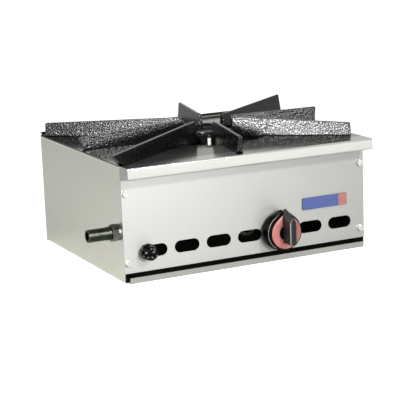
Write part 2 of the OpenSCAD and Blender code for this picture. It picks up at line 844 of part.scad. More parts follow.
module ignition_lead() {
    last = len(lead_points) - 1;
    color("#b03a2e") {
        for (k = [0 : last - 1]) rod(lead_points[k], lead_points[k + 1], lead_d);
        for (k = [1 : last - 1]) translate(lead_points[k]) sphere(d = lead_d + 0.3);
    }
}

module badge_plate() {
    w = badge_w / 2;
    h = badge_h / 2;
    r = badge_corner;
    color("#5b68ae") translate([badge_x, 0, badge_z]) rotate([90, 0, 0]) union() {
        translate([-w, r - h, 0]) cube([2 * w, 2 * (h - r), badge_t]);
        translate([r - w, -h, 0]) cube([2 * (w - r), 2 * h, badge_t]);
        for (x = [r - w, w - r], y = [r - h, h - r])
            translate([x, y, 0]) cylinder(r = r, h = badge_t);
    }
}

// A hexagon screw along +Y whose head rests on the plane y = 0
module hex_screw(head) {
    rotate([90, 0, 0]) hex(screw_af, head);
    bar_y([0, -eps, 0], screw_d - 0.1, 2 * sheet + 4);
}

module front_panel_screws() {
    color(steel) for (x = [screw_edge, body_w - screw_edge], z = [screw_low, screw_high])
        translate([x, 0, z]) hex_screw(screw_head);
}

module back_panel_screws() {
    color(steel) for (x = [screw_edge, body_w - screw_edge], z = [screw_low, screw_high])
        translate([x, body_d, z]) rotate(180) {
            bar_y([0, -back_head, 0], screw_af, back_head);
            bar_y([0, -eps, 0], screw_d - 0.1, 2 * sheet + 4);
        }
}

module bar_screws() {
    color(steel) for (y = [-bar_screw_y, bar_screw_y], s = [0, 1])
        translate([s * body_w, burner_y + y, bar_z - bar_screw_low]) mirror([s, 0, 0])
            bar_x([sheet, 0, 0], 5.4, bar_t + 4);
}

place() left_side_panel();
place() right_side_panel();
place() front_panel();
place() back_panel();
place() hob_top();
place() drip_tray();
place() grate();
place() grate_hub();
place() burner_body();
place() burner_port_ring();
place() burner_cap();
place() burner_support_bar();
place() air_shutter();
place() injector();
place() tap_body();
place() tap_gland_nut();
place() tap_thrust_washer();
place() tap_spindle();
place() knob();
place() knob_ring();
place() manifold_pipe();
place() manifold_plug();
place() manifold_bracket();
place() inlet_nipple();
place() inlet_outer_nut();
place() inlet_inner_nut();
place() igniter_housing();
place() igniter_nut();
place() igniter_button();
place() igniter_spring();
place() spark_electrode();
place() electrode_clip();
place() ignition_lead();
place() badge_plate();
place() front_panel_screws();
place() back_panel_screws();
place() bar_screws();
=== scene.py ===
import math

import bmesh
import bpy
from mathutils import Matrix, Vector


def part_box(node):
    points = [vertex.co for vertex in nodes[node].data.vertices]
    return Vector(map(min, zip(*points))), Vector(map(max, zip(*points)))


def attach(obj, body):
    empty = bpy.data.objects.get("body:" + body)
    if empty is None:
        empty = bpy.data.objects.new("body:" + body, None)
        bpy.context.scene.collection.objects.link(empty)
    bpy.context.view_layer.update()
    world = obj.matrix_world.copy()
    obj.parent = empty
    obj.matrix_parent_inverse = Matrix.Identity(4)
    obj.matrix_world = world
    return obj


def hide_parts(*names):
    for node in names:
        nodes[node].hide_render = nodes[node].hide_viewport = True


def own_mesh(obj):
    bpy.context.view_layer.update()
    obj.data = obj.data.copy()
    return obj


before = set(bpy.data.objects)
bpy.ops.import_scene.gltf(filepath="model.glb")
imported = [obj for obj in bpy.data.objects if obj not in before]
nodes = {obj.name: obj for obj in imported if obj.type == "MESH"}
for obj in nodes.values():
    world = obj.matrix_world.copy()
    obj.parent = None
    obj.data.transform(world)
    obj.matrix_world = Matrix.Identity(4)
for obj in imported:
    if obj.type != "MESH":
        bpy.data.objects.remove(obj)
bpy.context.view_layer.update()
print("frame loaded:", len(nodes), "nodes")

# Lengths are written in millimetres and times this where Blender takes metres
mm = 0.001

# The body's own corner (left, front, table) in the part's frame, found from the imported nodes
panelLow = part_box("front_panel")[0]
bodyCorner = Vector((panelLow.x, panelLow.y, 0))


def place(x, y, z):
    return bodyCorner + Vector((x, y, z)) * mm


camera = {
    "at": (-877.8, -2136.6, 629.0),  # from the body's corner
    "turn": 0.4505,  # this and the next two in radians
    "down": 0.2186,
    "roll": -0.0379,
    "focal": 1486.0,  # in pixels of a picture this wide
    "pixels": 420,
    "sensor": 36,
    "clip": (0.05, 60),
}


def makeCamera(c):
    data = bpy.data.cameras.new("camera")
    data.lens = c["focal"] * c["sensor"] / c["pixels"]
    data.sensor_width = c["sensor"]
    data.clip_start, data.clip_end = c["clip"]
    cam = bpy.data.objects.new("camera", data)
    bpy.context.scene.collection.objects.link(cam)
    forward = Vector((math.sin(c["turn"]) * math.cos(c["down"]),
                      math.cos(c["turn"]) * math.cos(c["down"]), -math.sin(c["down"])))
    right = Vector((math.cos(c["turn"]), -math.sin(c["turn"]), 0))
    up = right.cross(forward)
    cosRoll, sinRoll = math.cos(c["roll"]), math.sin(c["roll"])
    rolledRight = cosRoll * right + sinRoll * up
    rolledUp = -sinRoll * right + cosRoll * up
    turned = Matrix((rolledRight, rolledUp, -forward)).transposed().to_4x4()
    cam.matrix_world = Matrix.Translation(place(*c["at"])) @ turned
    bpy.context.scene.camera = cam


makeCamera(camera)
bpy.context.scene.view_settings.view_transform = "Standard"


def toLinear(hexColour):
    def one(v):
        v /= 255
        return v / 12.92 if v <= 0.04045 else ((v + 0.055) / 1.055) ** 2.4
    h = hexColour.lstrip("#")
    return tuple(one(int(h[i:i + 2], 16)) for i in (0, 2, 4)) + (1.0,)


def addNode(tree, kind, links=None, **settings):
    # links: input name or index -> socket or plain value
    node = tree.nodes.new(kind)
    for name, value in settings.items():
        setattr(node, name, value)
    for name, value in (links or {}).items():
        socket = node.inputs[name]
        if isinstance(value, bpy.types.NodeSocket):
            tree.links.new(value, socket)
        else:
            socket.default_value = value
    return node


def newMaterial(name):
    material = bpy.data.materials.new(name)
    material.use_nodes = True
    tree = material.node_tree
    tree.nodes.clear()
    output = addNode(tree, "ShaderNodeOutputMaterial")
    shader = addNode(tree, "ShaderNodeBsdfPrincipled")
    tree.links.new(shader.outputs[0], output.inputs[0])
    where = addNode(tree, "ShaderNodeTexCoord").outputs["Object"]
    return material, tree, shader, where


def colourRamp(tree, factor, stops):
    ramp = addNode(tree, "ShaderNodeValToRGB", {"Fac": factor})
    while len(ramp.color_ramp.elements) < len(stops):
        ramp.color_ramp.elements.new(0.5)
    for element, (at, colour) in zip(ramp.color_ramp.elements, stops):
        element.position = at
        element.color = toLinear(colour)
    return ramp.outputs["Color"]


def perMetre(size):
    # noise scale whose features are about this many millimetres across
    return 1 / (size * mm)


def addNoise(tree, where, size, detail, rough=0.5):
    return addNode(tree, "ShaderNodeTexNoise", {
        "Vector": where, "Scale": perMetre(size), "Detail": detail,
        "Roughness": rough}).outputs["Fac"]


def addBump(tree, shader, height, strength, depth):
    bump = addNode(tree, "ShaderNodeBump", {
        "Height": height, "Strength": strength, "Distance": depth * mm})
    tree.links.new(bump.outputs[0], shader.inputs["Normal"])


def mixColour(tree, factor, first, second):
    mix = addNode(tree, "ShaderNodeMix", {"Factor": factor}, data_type="RGBA")
    for name, value in (("A", first), ("B", second)):
        socket = [s for s in mix.inputs if s.name == name and s.type == "RGBA"][0]
        if isinstance(value, bpy.types.NodeSocket):
            tree.links.new(value, socket)
        else:
            socket.default_value = toLinear(value)
    return [s for s in mix.outputs if s.type == "RGBA"][0]


def insideBox(tree, where, low, high, soft=0.4):
    # 1 inside a box given from the body's corner, 0 outside, with a short ramp between
    split = addNode(tree, "ShaderNodeSeparateXYZ", {0: where})
    lowPart, highPart = place(*low), place(*high)
    result = None
    for axis in range(3):
        for edge, rising in ((lowPart[axis], True), (highPart[axis], False)):
            ramp = addNode(tree, "ShaderNodeMapRange", {
                "Value": split.outputs[axis],
                "From Min": edge - soft * mm / 2, "From Max": edge + soft * mm / 2,
                "To Min": 0.0 if rising else 1.0, "To Max": 1.0 if rising else 0.0}).outputs[0]
            result = ramp if result is None else addNode(tree, "ShaderNodeMath", {
                0: result, 1: ramp}, operation="MINIMUM").outputs[0]
    return result


# The room inside the sheet body, where the steel is painted dark brown-grey as shade and made
# rougher
shadedRoom = {"low": (0.7, 0.8, 1.6), "high": (449.3, 363.2, 191.6), "roughness": 0.7}
# The hob's face and dish, painted darker as shade and dark reflections, and the width of the
# change to the plain steel
hobFace = {"low": (-5, 2, 165), "high": (455, 370, 193.6), "soft": 3.0}


def brushedStainless(name, tones, roughness, along, scratch=0.012, hobShadeTone=None,
                     smear=None, shadeTone="#1c1a17", grazing="#ffffff"):
    # Satin stainless sheet, belt brushed: soft streaks along one axis and a faint cloudiness.
    # the tone given for inside the body is painted shade, the one given for the hob's face is
    # painted darker as shade and dark reflections, and grazing is the tint of what it mirrors at a
    # flat angle
    material, tree, shader, where = newMaterial(name)
    stretch = {"x": (0.01, 1, 1), "y": (1, 0.01, 1)}[along]
    grain = addNode(tree, "ShaderNodeMapping", {"Vector": where, "Scale": stretch})
    streak = addNoise(tree, grain.outputs[0], size=0.9, detail=3, rough=0.6)
    cloud = addNoise(tree, where, size=140, detail=2)
    tone = colourRamp(tree, streak, [(0.25, tones[0]), (0.75, tones[1])])
    mixed = addNode(tree, "ShaderNodeMath", {0: streak, 1: cloud}, operation="ADD")
    rough = addNode(tree, "ShaderNodeMapRange", {
        "Value": mixed.outputs[0], "From Min": 0.6, "From Max": 1.4,
        "To Min": roughness - 0.03, "To Max": roughness + 0.04}).outputs[0]
    # inside the body the steel is painted dark as shade and made rougher
    inShade = insideBox(tree, where, shadedRoom["low"], shadedRoom["high"])
    tone = mixColour(tree, inShade, tone, shadeTone)
    rough = addNode(tree, "ShaderNodeMapRange", {
        "Value": inShade, "To Min": rough, "To Max": shadedRoom["roughness"]}).outputs[0]
    # the hob's face and dish are painted darker as shade and dark reflections of the grate
    if hobShadeTone:
        top = insideBox(tree, where, hobFace["low"], hobFace["high"], hobFace["soft"])
        tone = mixColour(tree, top, tone, hobShadeTone)
    tree.links.new(tone, shader.inputs["Base Color"])
    tree.links.new(rough, shader.inputs["Roughness"])
    shader.inputs["Metallic"].default_value = 1.0
    shader.inputs["Specular Tint"].default_value = toLinear(grazing)
    if smear:  # reflections are drawn out across the brush marks
        amount, direction = smear
        shader.inputs["Anisotropic"].default_value = amount
        across = addNode(tree, "ShaderNodeCombineXYZ", dict(enumerate(direction)))
        tree.links.new(across.outputs[0], shader.inputs["Tangent"])
    addBump(tree, shader, streak, 0.12, scratch)
    return material


def castEnamel(name, dark, light, pebble, depth, roughness, gloss):
    # Cast iron under glossy black enamel: pebbled by the sand mould, so it glitters where
    # it mirrors a lamp and is nearly black elsewhere
    material, tree, shader, where = newMaterial(name)
    lumps = addNoise(tree, where, size=pebble, detail=1.5, rough=0.6)
    pits = addNode(tree, "ShaderNodeTexVoronoi", {
        "Vector": where, "Scale": perMetre(pebble * 0.9)})
    height = addNode(tree, "ShaderNodeMath", {
        0: pits.outputs["Distance"], 1: 0.7, 2: lumps}, operation="MULTIPLY_ADD")
    tone = colourRamp(tree, lumps, [(0.35, dark), (0.7, light)])
    tree.links.new(tone, shader.inputs["Base Color"])
    grit = addNoise(tree, where, size=pebble * 0.7, detail=2)
    rough = addNode(tree, "ShaderNodeMapRange", {
        "Value": grit, "From Min": 0.38, "From Max": 0.62,
        "To Min": roughness - 0.05, "To Max": roughness + 0.14})
    tree.links.new(rough.outputs[0], shader.inputs["Roughness"])
    shader.inputs["Specular IOR Level"].default_value = gloss
    addBump(tree, shader, height.outputs[0], 1.0, depth)
    return material


def moulded(name, dark, light, roughness, gloss=0.5):
    # Moulded plastic or silicone: even colour, faint grain from the tool
    material, tree, shader, where = newMaterial(name)
    grain = addNoise(tree, where, size=0.6, detail=2)
    patch = addNoise(tree, where, size=9, detail=3)
    tone = colourRamp(tree, patch, [(0.3, dark), (0.7, light)])
    tree.links.new(tone, shader.inputs["Base Color"])
    shader.inputs["Roughness"].default_value = roughness
    shader.inputs["Specular IOR Level"].default_value = gloss
    addBump(tree, shader, grain, 0.15, 0.05)
    return material


def turnedMetal(name, dark, light, roughness, grain=1.2):
    # Turned or drawn metal: fine tool marks and a little tarnish in patches
    material, tree, shader, where = newMaterial(name)
    marks = addNoise(tree, where, size=grain, detail=4, rough=0.7)
    patch = addNoise(tree, where, size=12, detail=3)
    tone = colourRamp(tree, patch, [(0.3, dark), (0.7, light)])
    tree.links.new(tone, shader.inputs["Base Color"])
    rough = addNode(tree, "ShaderNodeMapRange", {
        "Value": marks, "To Min": roughness - 0.08, "To Max": roughness + 0.1})
    tree.links.new(rough.outputs[0], shader.inputs["Roughness"])
    shader.inputs["Metallic"].default_value = 1.0
    addBump(tree, shader, marks, 0.2, 0.06)
    return material


def mottledChrome(name, tones, roughness, lump, depth):
    # Black chrome on a moulded, slightly lumpy surface: near black, broken by small glints from
    # the lamps and by pale patches painted into its colour as glints
    material, tree, shader, where = newMaterial(name)
    lumps = addNoise(tree, where, size=lump, detail=3, rough=0.6)
    patch = addNoise(tree, where, size=lump * 1.7, detail=2)
    # the last tone paints pale patches as glints
    tone = colourRamp(tree, patch, list(zip((0.3, 0.58, 0.66), tones)))
    tree.links.new(tone, shader.inputs["Base Color"])
    shader.inputs["Roughness"].default_value = roughness
    shader.inputs["Metallic"].default_value = 1.0
    addBump(tree, shader, lumps, 0.6, depth)
    return material


def printedBadge(name, b):
    # Anodised plate with a printed blue field and a red end, its edges dark
    material, tree, shader, where = newMaterial(name)
    split = addNode(tree, "ShaderNodeSeparateXYZ", {0: where})
    border = place(b["x"] + b["width"] / 2 - b["redEnd"], 0, 0).x
    red = addNode(tree, "ShaderNodeMapRange", {
        "Value": split.outputs[0], "From Min": border - 0.3 * mm, "From Max": border + 0.3 * mm})
    front = place(0, b["printEdge"] - b["thick"], 0).y
    side = addNode(tree, "ShaderNodeMapRange", {
        "Value": split.outputs[1], "From Min": front - 0.05 * mm, "From Max": front + 0.05 * mm})
    mottle = addNoise(tree, where, size=4, detail=3)
    blue = colourRamp(tree, mottle, [(0.3, b["blue"][0]), (0.7, b["blue"][1])])
    rose = colourRamp(tree, mottle, [(0.3, b["red"][0]), (0.7, b["red"][1])])
    face = mixColour(tree, red.outputs[0], blue, rose)
    tree.links.new(mixColour(tree, side.outputs[0], face, b["side"]), shader.inputs["Base Color"])
    shader.inputs["Roughness"].default_value = 0.35
    addBump(tree, shader, mottle, 0.1, 0.03)
    return material


def glazedCeramic(name, wireFrom):
    # Glazed white ceramic up to a height over the table, bare nickel wire above it
    material, tree, shader, where = newMaterial(name)
    split = addNode(tree, "ShaderNodeSeparateXYZ", {0: where})
    wire = addNode(tree, "ShaderNodeMapRange", {
        "Value": split.outputs[2],
        "From Min": (wireFrom - 0.1) * mm, "From Max": (wireFrom + 0.1) * mm})
    speck = addNoise(tree, where, size=2, detail=3)
    glaze = colourRamp(tree, speck, [(0.3, "#e9e7e0"), (0.7, "#f6f5f0")])
    tree.links.new(mixColour(tree, wire.outputs[0], glaze, "#7b7a74"), shader.inputs["Base Color"])
    tree.links.new(wire.outputs[0], shader.inputs["Metallic"])
    shader.inputs["Roughness"].default_value = 0.2
    addBump(tree, shader, speck, 0.1, 0.04)
    return material


badge = {
    "x": 372.0, "z": 88.6, "width": 87.0, "height": 20.5, "thick": 2.0, "corner": 2.5,
    "cornerSteps": 6, "edge": 0.3, "lift": 0.01,
    "redEnd": 17.0,  # length of the red end
    "printEdge": 0.35,  # how far behind the face the print stops
    "blue": ("#2f3d6e", "#384778"), "red": ("#7c4f4a", "#8a5c56"), "side": "#1d1f26",
}

# Each sheet's inside is painted dark brown-grey as shade, the tray's in a lighter tone
sheetFront = brushedStainless("stainlessSheetFront", ("#989895", "#9b9b98"), roughness=0.46,
                              along="x", smear=(0.55, (0, 0, 1)))
sheetTray = brushedStainless("stainlessSheetTray", ("#959591", "#9c9c98"), roughness=0.36,
                             along="x", shadeTone="#2b2824")
sheetSide = brushedStainless("stainlessSheetSide", ("#cdcdc3", "#d1d1c7"), roughness=0.36,
                             along="y")
# its face is painted darker as shade and dark reflections
sheetHob = brushedStainless("stainlessSheetHob", ("#bdbdb8", "#c2c2bd"), roughness=0.13,
                            along="x", scratch=0.0015, hobShadeTone="#555553", grazing="#dcdcda")
ironEnamel = castEnamel("enamelledCastIron", "#060706", "#0e100f",
                        pebble=3.0, depth=0.29, roughness=0.15, gloss=0.31)
burnerEnamel = castEnamel("enamelledBurnerIron", "#040404", "#080908",
                          pebble=1.8, depth=0.2, roughness=0.5, gloss=0.06)
zincSteel = turnedMetal("zincPlatedSteel", "#b9b9b2", "#d2d2cc", roughness=0.3)
pipeSteel = turnedMetal("drawnPipeSteel", "#1c1e1a", "#383a35", roughness=0.27)
nutSteel = turnedMetal("wornNutSteel", "#3c3e39", "#6c6e68", roughness=0.24, grain=2.4)
brass = turnedMetal("turnedBrass", "#a9873f", "#cdaa5c", roughness=0.3)
# its pale third tone is a painted glint
darkChrome = mottledChrome("blackChrome", ("#090a09", "#181918", "#8d8f8b"),
                           roughness=0.14, lump=2.6, depth=0.5)
blackPlastic = moulded("mouldedBlackPlastic", "#020202", "#040404", roughness=0.34, gloss=0.04)
gripPlastic = moulded("handledBlackPlastic", "#101110", "#181918", roughness=0.36, gloss=0.25)
# pale plastic painted on some knob edges as highlights
paintedHighlightPlastic = moulded("paintedHighlightEdge", "#6a6a67", "#7c7c78", roughness=0.4, gloss=0.3)
ringPlastic = moulded("mouldedRedPlastic", "#8e5550", "#995f59", roughness=0.36)
redSilicone = moulded("redSiliconeSleeve", "#6d1a12", "#84231a", roughness=0.5)
badgeFinish = printedBadge("printedAnodisedPlate", badge)
electrodeFinish = glazedCeramic("glazedCeramic", wireFrom=197.2)

finish = {
    "left_side_panel": sheetSide, "right_side_panel": sheetSide, "back_panel": sheetFront,
    "front_panel": sheetFront, "hob_top": sheetHob, "drip_tray": sheetTray,
    "grate": ironEnamel, "grate_hub": ironEnamel, "burner_body": burnerEnamel,
    "burner_port_ring": burnerEnamel, "burner_cap": burnerEnamel,
    "burner_support_bar": sheetFront, "air_shutter": zincSteel, "injector": brass,
    "tap_body": brass, "tap_gland_nut": brass, "tap_thrust_washer": zincSteel,
    "tap_spindle": zincSteel, "knob": blackPlastic, "knob_ring": ringPlastic,
    "manifold_pipe": pipeSteel, "manifold_plug": pipeSteel, "manifold_bracket": zincSteel,
    "inlet_nipple": pipeSteel, "inlet_outer_nut": nutSteel, "inlet_inner_nut": pipeSteel,
    "igniter_housing": darkChrome, "igniter_nut": zincSteel, "igniter_button": darkChrome,
    "igniter_spring": zincSteel, "spark_electrode": electrodeFinish,
    "electrode_clip": zincSteel, "ignition_lead": redSilicone, "badge_plate": badgeFinish,
    "front_panel_screws": zincSteel, "back_panel_screws": zincSteel, "bar_screws": zincSteel,
}
for name, node in nodes.items():
    node.data.materials.clear()
    node.data.materials.append(finish[name])
print("materials set on", len(finish), "nodes")


def makeObject(name, mesh, material, smooth=True):
    obj = bpy.data.objects.new(name, mesh)
    bpy.context.scene.collection.objects.link(obj)
    mesh.materials.clear()
    mesh.materials.append(material)
    if smooth:
        mesh.shade_smooth()
    return obj


def fromBmesh(name, bm, material):
    bmesh.ops.remove_doubles(bm, verts=bm.verts, dist=0.00001)
    bmesh.ops.recalc_face_normals(bm, faces=bm.faces)
    mesh = bpy.data.meshes.new(name)
    bm.to_mesh(mesh)
    bm.free()
    return makeObject(name, mesh, material)


def softenEdges(obj, width, angle):
    bevel = obj.modifiers.new("softEdges", "BEVEL")
    bevel.width = width * mm
    bevel.segments = 2
    bevel.limit_method = "ANGLE"
    bevel.angle_limit = math.radians(angle)
    bevel.use_clamp_overlap = False
    bevel.harden_normals = True


def revolve(bm, profile, steps, toPart, wobble=None):
    # profile: (radius, height) from the axis round to the axis, or a closed chain;
    # toPart(x, y, height) -> Vector; wobble(angle, height) scales the radius
    rings = []
    for radius, height in profile:
        if radius == 0:
            rings.append([bm.verts.new(toPart(0, 0, height))])
            continue
        ring = []
        for k in range(steps):
            a = 2 * math.pi * k / steps
            r = radius * (wobble(a, height) if wobble else 1)
            ring.append(bm.verts.new(toPart(r * math.cos(a), r * math.sin(a), height)))
        rings.append(ring)
    for first, second in zip(rings, rings[1:]):
        for k in range(steps):
            j = (k + 1) % steps
            corners = [first[k % len(first)], first[j % len(first)],
                       second[j % len(second)], second[k % len(second)]]
            face = [v for i, v in enumerate(corners) if v not in corners[:i]]
            if len(face) > 2:
                bm.faces.new(face)


def roundProfile(points, radius, steps=3):
    # Rounds the corners of a chain of points, the two ends stay
    result = [points[0]]
    for before, corner, after in zip(points, points[1:], points[2:]):
        c = Vector(corner)
        toBefore, toAfter = Vector(before) - c, Vector(after) - c
        reach = min(radius, toBefore.length * 0.45, toAfter.length * 0.45)
        start = c + toBefore.normalized() * reach
        end = c + toAfter.normalized() * reach
        for k in range(steps + 1):
            t = k / steps
            point = (1 - t) ** 2 * start + 2 * t * (1 - t) * c + t ** 2 * end
            result.append((point.x, point.y))
    result.append(points[-1])
    return result


grate = {
    "centre": (242.0, 177.0, 193.0),
    "hob": (450.0, 364.0, 31.5),  # width, depth and how far the lip stands out
    "innerEnd": 45.0, "top": 31.0, "land": 20.0, "dip": 8.0, "crest": 5.0, "foot": 12.0,
    "dish": 106.0, "gap": 0.3, "seat": 14.0,  # the seat starts this far outside the dish
    "step": (9.3, 18.0),  # the dip's slope, inwards from the dish's edge
    "toe": (11.0, 2.6, 2.0, 3.0),  # length, height, and how far its corner is cut back and up
    "arch": (14.0, 55.0),  # the hollow behind a toe, inwards from the tip
    "ring": (44.0, 50.0, 8.0, 14.0), "ringCorner": 1.5, "ringSteps": 96,
    "corner": 2.6, "edge": 0.9,
    # direction, distance of the toe from the hob's edge, lean of its upper corner, height of
    # that corner and of the tip's underside
    "fingers": [
        (355, 1, -1, 32, 9), (29, 1, 4, 40, 11), (80, 6.4, 1, 34, 7), (143, 9, 0, 23, 0),
        (180, 10, -9, 21, 0), (215.5, 5, -26, 19, 0), (260, 21, -5, 27, 0), (322.5, 11, 1, 21, 0)],
}


def fingerReach(g, angle):
    c, s = math.cos(angle), math.sin(angle)
    width, depth, lip = g["hob"]
    along = (width - g["centre"][0]) if c > 0 else g["centre"][0]
    across = (depth - g["centre"][1]) if s > 0 else g["centre"][1] + lip
    return min(along / max(abs(c), 0.01), across / max(abs(s), 0.01))


def makeGrate(g):
    bm = bmesh.new()
    cx, cy, cz = g["centre"]
    start, rest = g["innerEnd"], g["gap"]
    toeLength, toeHeight, cutBack, cutUp = g["toe"]
    archStart, archEnd = g["arch"]
    slopeTop, slopeFoot = (g["dish"] - inwards for inwards in g["step"])
    spread = (g["foot"] - g["crest"]) / g["top"]
    for direction, inset, lean, tipTop, under in g["fingers"]:
        a = math.radians(direction)
        tip = fingerReach(g, a) - inset
        outline = [(start, 0), (start, g["top"]), (start + g["land"], g["top"]),
                   (tip - lean, tipTop)]
        if under > 0:
            outline += [(tip - cutBack, under + cutUp), (tip, toeHeight), (tip, rest),
                        (tip - toeLength, rest), (tip - archStart, under + rest),
                        (tip - archEnd, rest + under / 4)]
        else:
            outline += [(tip, rest)]
        outline += [(g["dish"] + g["seat"], rest), (slopeTop, 0)]
        upper = roundProfile(outline, g["corner"])
        lower = [(slopeTop, 0), (slopeFoot, -g["dip"]), (start, -g["dip"]), (start, 0)]

        def corner(r, z, side):
            half = (g["foot"] - spread * max(z, 0)) / 2 * side
            return place(cx + r * math.cos(a) - half * math.sin(a),
                         cy + r * math.sin(a) + half * math.cos(a), cz + z)

        # the two outlines meet at the hob's height and bound one solid between them
        for chain in (upper, lower):
            left = [bm.verts.new(corner(r, z, 1)) for r, z in chain]
            right = [bm.verts.new(corner(r, z, -1)) for r, z in chain]
            bm.faces.new(left)
            bm.faces.new(list(reversed(right)))
            for k in range(len(chain) - 1):
                bm.faces.new((left[k], right[k], right[k + 1], left[k + 1]))
    inner, outer, low, high = g["ring"]
    ring = roundProfile([(inner, (low + high) / 2), (inner, high), (outer, high), (outer, low),
                         (inner, low), (inner, (low + high) / 2)], g["ringCorner"])
    revolve(bm, ring, g["ringSteps"], lambda x, y, z: place(cx + x, cy + y, cz + z))
    piece = fromBmesh("castGrate", bm, ironEnamel)
    softenEdges(piece, g["edge"], 35)
    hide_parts("grate", "grate_hub")
    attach(piece, "grate")
    print("grate ready:", len(piece.data.polygons), "faces")


makeGrate(grate)

knob = {
    "x": 282.8, "z": 51.0, "faceOut": 26.7, "edge": 0.3,
    "gripWidth": 12.0, "gripFoot": -17.0,
    "ringIn": 13.0, "ringOut": 27.2, "ringTip": 36.0, "ringProud": 0.2, "ringDepth": 1.6,
    "ringGap": 0.3,  # between the ring and the grip
    "ringOpen": 31.0,  # height over the axis at which the ring is cut by the grip's nose
    "ringClear": 0.5,  # and how many degrees it stops short of it
    "ringSteps": 60,
    "ringCrown": (  # across the ring's width, and the drop there
        (0, 0.4), (0.03, 0.1), (0.3, 0.0), (0.7, 0.1), (0.97, 0.25), (1, 0.5)),
    "outlineSteps": 128,
    "skirtTips": [  # height, radius and tip of the drop outline
        (4.0, 32.2, 34.6), (5.0, 33.0, 35.4), (8.6, 33.0, 35.8), (10.6, 32.8, 33.6),
        (13.0, 32.6, 33.4), (16.0, 32.1, 35.2), (19.0, 31.6, 37.4), (19.6, 31.2, 37.4),
        (19.7, 29.9, 38.0), (22.0, 29.8, 38.4), (24.8, 29.5, 37.6), (25.7, 29.1, 36.8),
        (26.1, 28.6, 36.2)],
    "ledge": 7,  # the step of the list above whose faces are painted pale as a highlight
    "highlighted": (8, 84),  # from which to which of its outline's steps the highlight is painted
    "gripLevels": [  # height, half width, where the nose starts and where it ends
        (13, 4.6, 24, 33.2), (18, 5.2, 28, 37), (22.6, 5.8, 31.2, 40.4), (26.7, 6.0, 31.1, 40.2),
        (34, 6.0, 27.9, 37.2), (42, 6.0, 24.4, 33.8), (49.6, 6.0, 21.0, 30.4),
        (50.7, 4.6, 20.0, 28.4)],
}


def onPanel(x, z):
    # a frame whose third axis points out of the front panel
    return lambda u, v, out: place(x + u, -out, z + v)


def loft(bm, sections):
    # sections: lists of points of equal length, each a closed loop
    rows = [[bm.verts.new(p) for p in section] for section in sections]
    for first, second in zip(rows, rows[1:]):
        for k in range(len(first)):
            j = (k + 1) % len(first)
            bm.faces.new((first[k], first[j], second[j], second[k]))
    bm.faces.new(rows[0])
    bm.faces.new(list(reversed(rows[-1])))


def dropReach(radius, tip, off):
    # how far a circle drawn out to a point reaches, at an angle off the point's direction
    lean = math.asin(min(0.9999, radius / tip))
    if off < math.pi / 2 - lean:
        return radius / math.cos(math.pi / 2 - lean - off)
    return radius


def dropOutline(radius, tip, steps):
    # that drop with its point up, as a loop of points at evenly spread directions
    result = []
    for k in range(steps):
        a = 2 * math.pi * k / steps
        reach = dropReach(radius, tip, abs(math.atan2(math.cos(a), math.sin(a))))
        result.append((reach * math.cos(a), reach * math.sin(a)))
    return result


def paintHighlight(piece, faces):
    # some faces of a knob's piece are painted pale as a highlight
    piece.data.materials.append(paintedHighlightPlastic)
    for n in faces:
        piece.data.polygons[n].material_index = 1


def makeKnobSkirt(k):
    bm = bmesh.new()
    at = onPanel(k["x"], k["z"])
    steps = k["outlineSteps"]
    loft(bm, [[at(u, v, out) for u, v in dropOutline(radius, tip, steps)]
              for out, radius, tip in k["skirtTips"]])
    piece = fromBmesh("controlKnobSkirt", bm, blackPlastic)
    # part of the ledge is painted pale as a highlight
    paintHighlight(piece, [k["ledge"] * steps + n for n in range(*k["highlighted"])])
    softenEdges(piece, k["edge"], 40)
    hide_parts("knob")
    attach(piece, "control")


def makeKnobGrip(k):
    # the bar that the hand turns: its nose leans back from the crest to the skirt's tip
    bm = bmesh.new()
    at = onPanel(k["x"], k["z"])
    sections = []
    for out, half, start, end in k["gripLevels"]:
        foot = k["gripFoot"] + k["gripWidth"] / 2 - half
        # half of the bar's outline: corner at the foot, straight side, rounded nose
        right = [(half - 1, foot), (half, foot + 1), (half, start - 2), (half - 0.3, start),
                 (half * 0.52, (start + end) / 2), (0.5, end)]
        left = [(-u, v) for u, v in reversed(right)]
        sections.append([at(u, v, out) for u, v in right + left])
    loft(bm, sections)
    piece = fromBmesh("controlKnobGrip", bm, gripPlastic)
    last = (len(sections) - 2) * len(sections[0])
    paintHighlight(piece, (last + 8, last + 9))  # the crest's long edge on the left, painted pale as a highlight
    softenEdges(piece, k["edge"], 25)
    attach(piece, "control")


def makeKnobRing(k):
    # a flat drop-shaped ring, cut away where the grip stands, a little crowned
    at = onPanel(k["x"], k["z"])
    side, foot = k["gripWidth"] / 2 + k["ringGap"], k["ringGap"] - k["gripFoot"]
    inner, outer, tip = k["ringIn"], k["ringOut"], k["ringTip"]
    tipEnd = math.degrees(math.atan2(k["ringOpen"], side)) - k["ringClear"]
    corners = [math.degrees(math.acos(side / inner)), -math.degrees(math.acos(side / inner)),
               -math.degrees(math.atan2(foot, side))]
    steps = k["ringSteps"]
    stations = sorted([tipEnd - n * (90 + tipEnd) / steps for n in range(steps + 1)] + corners)
    half = []
    for t in stations:
        a = math.radians(t)
        near = side / max(math.cos(a), 1e-6)
        if a < 0:
            near = min(near, foot / -math.sin(a))
        half.append((a, max(inner, near), dropReach(outer, tip, math.pi / 2 - a)))
    full = half[::-1] + [(math.pi - a, near, far) for a, near, far in half[1:]]
    top, low = k["faceOut"] + k["ringProud"], k["faceOut"] - k["ringDepth"]
    rows = []
    for a, near, far in full:
        row = []
        for share, drop in k["ringCrown"]:
            r = near + (far - near) * share
            row.append(at(r * math.cos(a), r * math.sin(a), top - drop))
        row += [at(far * math.cos(a), far * math.sin(a), low),
                at(near * math.cos(a), near * math.sin(a), low)]
        rows.append(row)
    bm = bmesh.new()
    loft(bm, rows)
    piece = fromBmesh("controlKnobRing", bm, ringPlastic)
    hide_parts("knob_ring")
    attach(piece, "control")


makeKnobSkirt(knob)
makeKnobGrip(knob)
makeKnobRing(knob)
print("knob ready")

